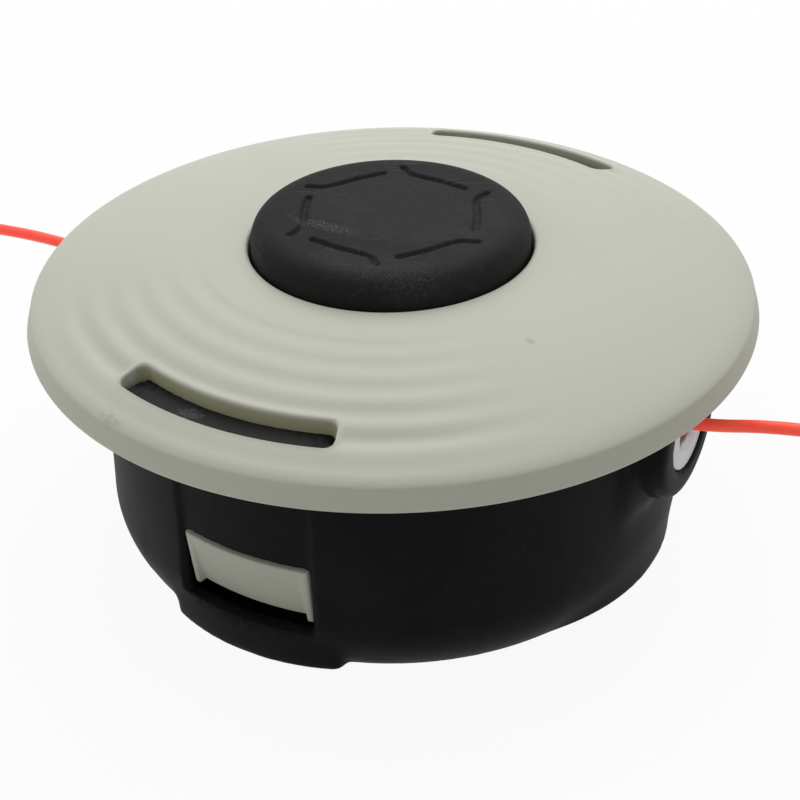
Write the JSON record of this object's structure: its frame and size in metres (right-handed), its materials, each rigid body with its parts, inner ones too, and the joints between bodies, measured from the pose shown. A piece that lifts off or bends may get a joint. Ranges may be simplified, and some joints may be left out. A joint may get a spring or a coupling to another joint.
{
  "type": "bump feed trimmer head",
  "caption": "Bump feed trimmer head: bowl housing, grey latched cover disc, domed bump button, metal eyelets and orange cutting line.",
  "frame": {"origin": "middle of the mounting face that the head stands on, on the turning axis", "axes": "+Z along the turning axis towards the bump button, +X towards one eyelet, -Y towards the latch seen in the picture"},
  "size_m": [0.2052, 0.14, 0.065],
  "materials": {
    "housing_plastic": "black moulded nylon, satin",
    "cover_plastic": "warm light grey moulded nylon, satin",
    "button_plastic": "dark grey moulded nylon with fine grain and scuffs",
    "spool_plastic": "dark moulded nylon",
    "nylon_line": "orange-red extruded nylon",
    "eyelet_metal": "turned and tumbled light metal",
    "zinc_steel": "zinc plated steel",
    "spring_steel": "drawn spring steel"
  },
  "bodies": {
    "housing": {"housing": "housing_plastic", "drive_nut": "zinc_steel", "cover": "cover_plastic", "eyelet_right": "eyelet_metal", "eyelet_left": "eyelet_metal", "seat_washer": "zinc_steel", "bump_spring": "spring_steel", "line_right": "nylon_line", "line_left": "nylon_line"},
    "carrier": {"thrust_washer": "zinc_steel"},
    "spool": {"spool": "spool_plastic", "bump_button": "button_plastic", "winding_upper": "nylon_line", "winding_lower": "nylon_line"},
    "latch_front": {"latch_front": "cover_plastic"},
    "latch_back": {"latch_back": "cover_plastic"}
  },
  "joints": [
    {"name": "bump_press", "type": "slide", "parent": "housing", "child": "carrier", "axis": [0, 0, -1], "range_m": [0, 0.0055], "stiffness_N_per_m": 2500, "springref_m": -0.008, "deforming": ["bump_spring"]},
    {"name": "spool_turn", "type": "hinge", "parent": "carrier", "child": "spool", "pos_m": [0, 0, 0.03], "axis": [0, 0, 1], "continuous": true},
    {"name": "latch_front_press", "type": "hinge", "parent": "housing", "child": "latch_front", "pos_m": [0, -0.05175, 0.0506], "axis": [1, 0, 0], "range_deg": [0, 5.2], "stiffness_Nm_per_rad": 3},
    {"name": "latch_back_press", "type": "hinge", "parent": "housing", "child": "latch_back", "pos_m": [0, 0.05175, 0.0506], "axis": [-1, 0, 0], "range_deg": [0, 5.2], "stiffness_Nm_per_rad": 3}
  ]
}
